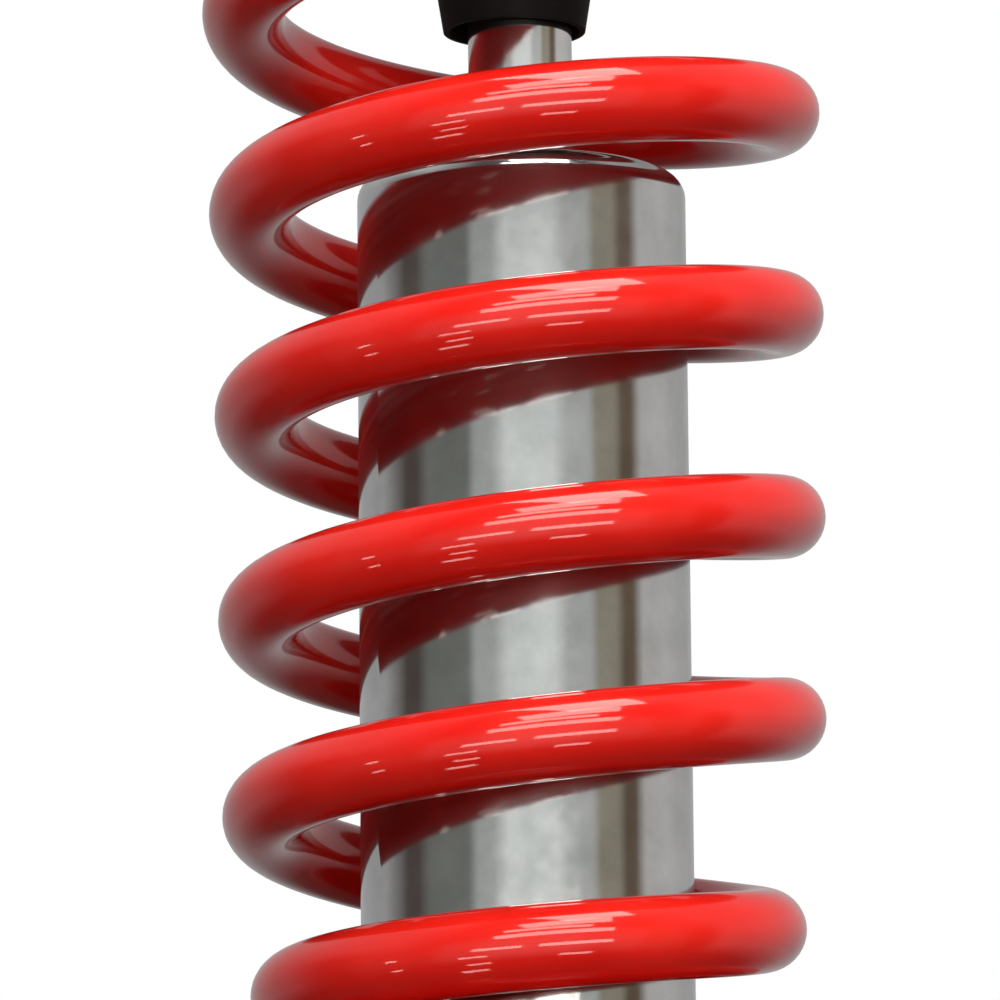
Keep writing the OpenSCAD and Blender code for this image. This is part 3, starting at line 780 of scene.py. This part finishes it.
def make_base_eye():
    """Lower eye with its neck, and the flange and plug that close the body tube."""
    flange_low, plug_top = 24.0, high("base_eye")
    neck_half, neck_top = 20, flange_low + 2.3
    # the eye's round outline ends this many degrees above its middle, where the neck leaves it
    lift, steps = 9, 72
    arc = [math.radians(lift - (180 + 2 * lift) * k / steps) for k in range(steps + 1)]
    path = [(EYE_R * math.cos(a), EYE_R * math.sin(a)) for a in arc]
    path += [(-neck_half, neck_top), (neck_half, neck_top)]
    path.reverse()
    eye = plate_mesh("base_eye", even_steps(rounded(path), 2.0), bearing_hole(), -EYE_HALF, EYE_HALF, 1.0)
    eye.transform(Matrix.Rotation(math.pi / 2, 4, "X"))
    flange = turned_mesh("base_flange", [rounded([
        (0, flange_low), (BODY_R, flange_low, 1.5), (BODY_R, BODY_LOW - 0.1, 0.3),
        (TUBE_R - 0.1, BODY_LOW - 0.1), (TUBE_R - 0.1, plug_top, 0.8), (0, plug_top)])])
    return finish_piece("base_eye_machined", joined(eye, flange), "base_eye", sharp=30)


def bearing_hole():
    """Hole for a spherical bearing, with a groove for each retaining ring."""
    side = [(RACE_R + 1, EYE_HALF), (RACE_R, EYE_HALF - 1), (RACE_R, GROOVE_HIGH), (GROOVE_R, GROOVE_HIGH),
            (GROOVE_R, GROOVE_LOW), (RACE_R, GROOVE_LOW)]
    return side + [(r, -z) for r, z in reversed(side)]


def make_rod_eye():
    """Upper eye with the threaded shank that screws onto the rod."""
    circle = [(EYE_R * math.cos(a), EYE_R * math.sin(a)) for a in np.linspace(0, 2 * math.pi, 145)[:-1]]
    eye = plate_mesh("rod_eye", circle, bearing_hole(), -EYE_HALF, EYE_HALF, 1.0)
    eye.transform(Matrix.Translation((0, 0, EYE_TO_EYE * MM)) @ Matrix.Rotation(math.pi / 2, 4, "X"))
    bottom, top, thread_top = low("rod_eye"), EYE_TO_EYE - RACE_R - 0.6, high("piston_rod") + 0.5
    shank = turned_mesh("rod_eye_shank", [rounded([
        (THREAD_R, bottom, 0.5), (SHANK_R, bottom, 0.8), (SHANK_R, top, 1.5), (0, top), (0, thread_top),
        (THREAD_R, thread_top)])])
    return finish_piece("rod_eye_machined", joined(eye, shank), "rod_eye", sharp=30)


def make_bearing(end, eye_z):
    """Spherical bearing in an eye: race, ball, and the two stepped spacers that centre the bolt."""
    ball_half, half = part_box(end + "_ball")[1].y / MM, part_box(end + "_spacers")[1].y / MM
    race_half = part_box(end + "_bearing_race")[1].y / MM
    sphere = [(BALL_R * math.cos(a), BALL_R * math.sin(a))
              for a in np.linspace(-1, 1, 25) * math.asin(ball_half / BALL_R)]
    turned(end + "_ball", [(BALL_BORE_R, -ball_half, 0.4)] + sphere + [(BALL_BORE_R, ball_half, 0.4)],
           eye_z=eye_z)
    cup_r = BALL_R + 0.04
    cup = [(cup_r * math.cos(a), cup_r * math.sin(a))
           for a in np.linspace(1, -1, 25) * math.asin(race_half / cup_r)]
    turned(end + "_bearing_race", [(RACE_R, -race_half, 0.4), (RACE_R, race_half, 0.4)] + cup, eye_z=eye_z)
    stub_r, waist_r, collar_r = 8.0, 8.9, 11.0
    shoulder = ball_half + 0.05   # just clear of the ball's flat face, which it turns against
    spacer = [(BOLT_R, 0.5), (stub_r, 0.5, 0.4), (stub_r, shoulder), (waist_r, shoulder),
              (waist_r, ball_half + 2, 0.8), (collar_r, ball_half + 5, 0.8), (collar_r, half, 0.6),
              (BOLT_R, half, 0.5)]
    turned(end + "_spacers", spacer, [(corner[0], -corner[1], *corner[2:]) for corner in spacer],
           eye_z=eye_z)


def slotted_path(radius):
    """Outline of a round nut with eight spanner slots."""
    slots, slot_half, depth, edge = 8, 3.5, 3.5, 0.7
    mouth = math.sqrt(radius ** 2 - slot_half ** 2)
    path = []
    for i in range(slots):
        middle = 2 * math.pi * i / slots
        here, there = math.asin(slot_half / radius), 2 * math.pi / slots
        corners = [(radius - depth, -slot_half), (radius - depth, slot_half),
                   (mouth, slot_half)]
        corners += [(radius * math.cos(a), radius * math.sin(a))
                    for a in np.linspace(here, there - here, 14)[1:-1]]
        corners.append((mouth * math.cos(there) + slot_half * math.sin(there),
                        mouth * math.sin(there) - slot_half * math.cos(there)))
        for k, (x, y) in enumerate(corners):
            sharp = edge if k in (0, 1, 2, len(corners) - 1) else 0
            path.append((x * math.cos(middle) - y * math.sin(middle),
                         x * math.sin(middle) + y * math.cos(middle), sharp))
    return even_steps(rounded(path, 3), 2.5)


def make_nut(node, path, hole_r, edge):
    """A nut of any outline, with a chamfered hole."""
    bottom, top = low(node), high(node)
    chamfer = 0.8
    hole = [(hole_r + chamfer, top), (hole_r, top - chamfer), (hole_r, bottom + chamfer),
            (hole_r + chamfer, bottom)]
    mesh = plate_mesh(node, path, hole, bottom, top, edge)
    return finish_piece(node + "_machined", mesh, node, sharp=30)


def make_adjuster():
    """Lower spring seat on a nylon washer, the slotted adjuster nut under it and the lock nut."""
    seat_low, face, spigot_top = low("lower_spring_seat"), low("spring"), high("lower_spring_seat")
    flange_r, spigot_r = outer("lower_spring_seat"), SPRING_LOW_R - WIRE_R - SPIGOT_CLEARANCE
    hub_r, flange_low = BODY_R + 9, face - 5
    turned("lower_spring_seat", [
        (COLLAR_R, seat_low, 0.5), (hub_r, seat_low, 0.6), (flange_r - 4, flange_low, 1.5),
        (flange_r, flange_low, 0.8), (flange_r, face, 0.8), (spigot_r, face, 0.6),
        (spigot_r, spigot_top, 1.2),
        (COLLAR_R, spigot_top, 0.6)])
    washer_low, washer_top = low("thrust_washer"), high("thrust_washer")
    washer_r, washer_bore_r = outer("thrust_washer"), BODY_R + 0.3
    turned("thrust_washer", [(washer_bore_r, washer_low), (washer_r, washer_low, 0.3),
                             (washer_r, washer_top, 0.3), (washer_bore_r, washer_top)])
    for node in ("adjuster_nut", "lock_nut"):
        make_nut(node, slotted_path(outer(node)), COLLAR_R, 0.6)


def make_upper_end():
    """Upper spring seat with its locating collar and hub, and the jam nut that holds it on the rod."""
    face, hub_top = high("spring"), high("upper_spring_seat")
    flange_r, collar_r = outer("upper_spring_seat"), SPRING_TOP_R - WIRE_R - SPIGOT_CLEARANCE
    collar_low, flange_top, hub_r = low("upper_spring_seat"), face + 6, 15
    bore_r, collar_bore_r = ROD_R + ROD_FIT, collar_r - 5
    turned("upper_spring_seat", [
        (bore_r, face), (collar_bore_r, face, 1.5), (collar_bore_r, collar_low, 0.5),
        (collar_r, collar_low, 1.2), (collar_r, face, 0.6), (flange_r, face, 0.8),
        (flange_r, flange_top, 1.2), (hub_r, flange_top, 1.5), (hub_r, hub_top, 1.0),
        (bore_r, hub_top, 0.5)])
    nut_r = 12.7   # out to the corners of the hexagon
    corners = [(nut_r * math.cos(a), nut_r * math.sin(a), 1.0) for a in np.arange(6) * math.pi / 3]
    make_nut("jam_nut", even_steps(rounded(corners), 1.0), THREAD_R, 0.8)


def make_rod_and_seals():
    """Chromed piston rod, and the wiper that it slides through."""
    bottom, top, hub_top = low("piston_rod"), high("piston_rod"), high("upper_spring_seat")
    shims_t, spigot_r = 4, 5.0
    shoulder = low("compression_shims") + shims_t
    turned("piston_rod", [
        (0, bottom), (spigot_r, bottom, 0.5), (spigot_r, shoulder), (ROD_R, shoulder, 0.3),
        (ROD_R, hub_top, 0.5), (THREAD_R, hub_top), (THREAD_R, top, 1.0), (0, top)])
    lip_low, lip_top = BODY_TOP - LIP_THICK, high("dust_wiper")
    sunk_top, scraper_r, root_r = BODY_TOP - 1, ROD_R + 0.05, ROD_R + 3
    turned("dust_wiper", [
        (root_r, lip_low), (LIP_R, lip_low), (LIP_R, sunk_top, 0.3), (root_r, sunk_top, 0.6),
        (ROD_R + 1, lip_top, 0.4), (scraper_r, lip_top, 0.2), (scraper_r, lip_low + 1)])


def make_bump_stop():
    """Microcellular foam stop on the rod: a dished cone, two lobes and a shank, in a steel cup."""
    bottom, top, lip_r, bore_r = low("bump_stop"), high("bump_stop"), 11.3, ROD_R + 1.1
    waist_r, lobe_r, shank_r, shank_h = 14.8, outer("bump_stop"), 17.0, 10
    lobe_low, lobe_pitch, lobe_share = bottom + 22, 14.0, 0.46
    dish_depth, lip_width = 7, 0.9
    lobes = []
    for n in (0, 1):
        middle = lobe_low + lobe_pitch * (n + 0.5)
        lobes += [(waist_r + (lobe_r - waist_r) * math.cos(a), middle + lobe_pitch * lobe_share * math.sin(a))
                  for a in np.linspace(-1, 1, 19) * math.pi / 2]
    # the loose foam sits a little to one side on the rod
    stop = turned("bump_stop", [(bore_r, bottom + dish_depth), (lip_r - lip_width, bottom, 0.15),
                                (lip_r, bottom, 0.15), (waist_r, lobe_low, 1.5)] + lobes
                  + [(shank_r, top - shank_h, 1.0), (shank_r, top), (bore_r, top)], shift_x=-0.85)
    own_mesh(stop)
    cup_r, cup_low, cup_top = outer("bump_stop_cup"), low("bump_stop_cup"), high("bump_stop_cup")
    turned("bump_stop_cup", [
        (bore_r, top), (shank_r, top, 0.8), (shank_r, cup_low), (shank_r + 1, cup_low, 0.4),
        (cup_r, cup_low, 0.6), (cup_r, cup_top, 0.5), (bore_r, cup_top, 0.3)])


MATERIALS = make_materials()
make_camera()
make_room()
make_lights()
make_floor()
# colours are shown as they are, without a film curve
bpy.context.scene.view_settings.view_transform = "Standard"
make_spring()
make_body_tube()
make_base_eye()
make_rod_eye()
make_bearing("lower", 0.0)
make_bearing("upper", EYE_TO_EYE)
make_adjuster()
make_upper_end()
make_rod_and_seals()
make_bump_stop()

# ------------------------------------------------------------------ remaining nodes

# the pieces inside the damper and the small rings keep the design's own shapes
for node_name, node_object in frame["nodes"].items():
    if not node_object.hide_render:
        node_object.data.materials.clear()
        node_object.data.materials.append(MATERIALS[SLOTS[node_name]])
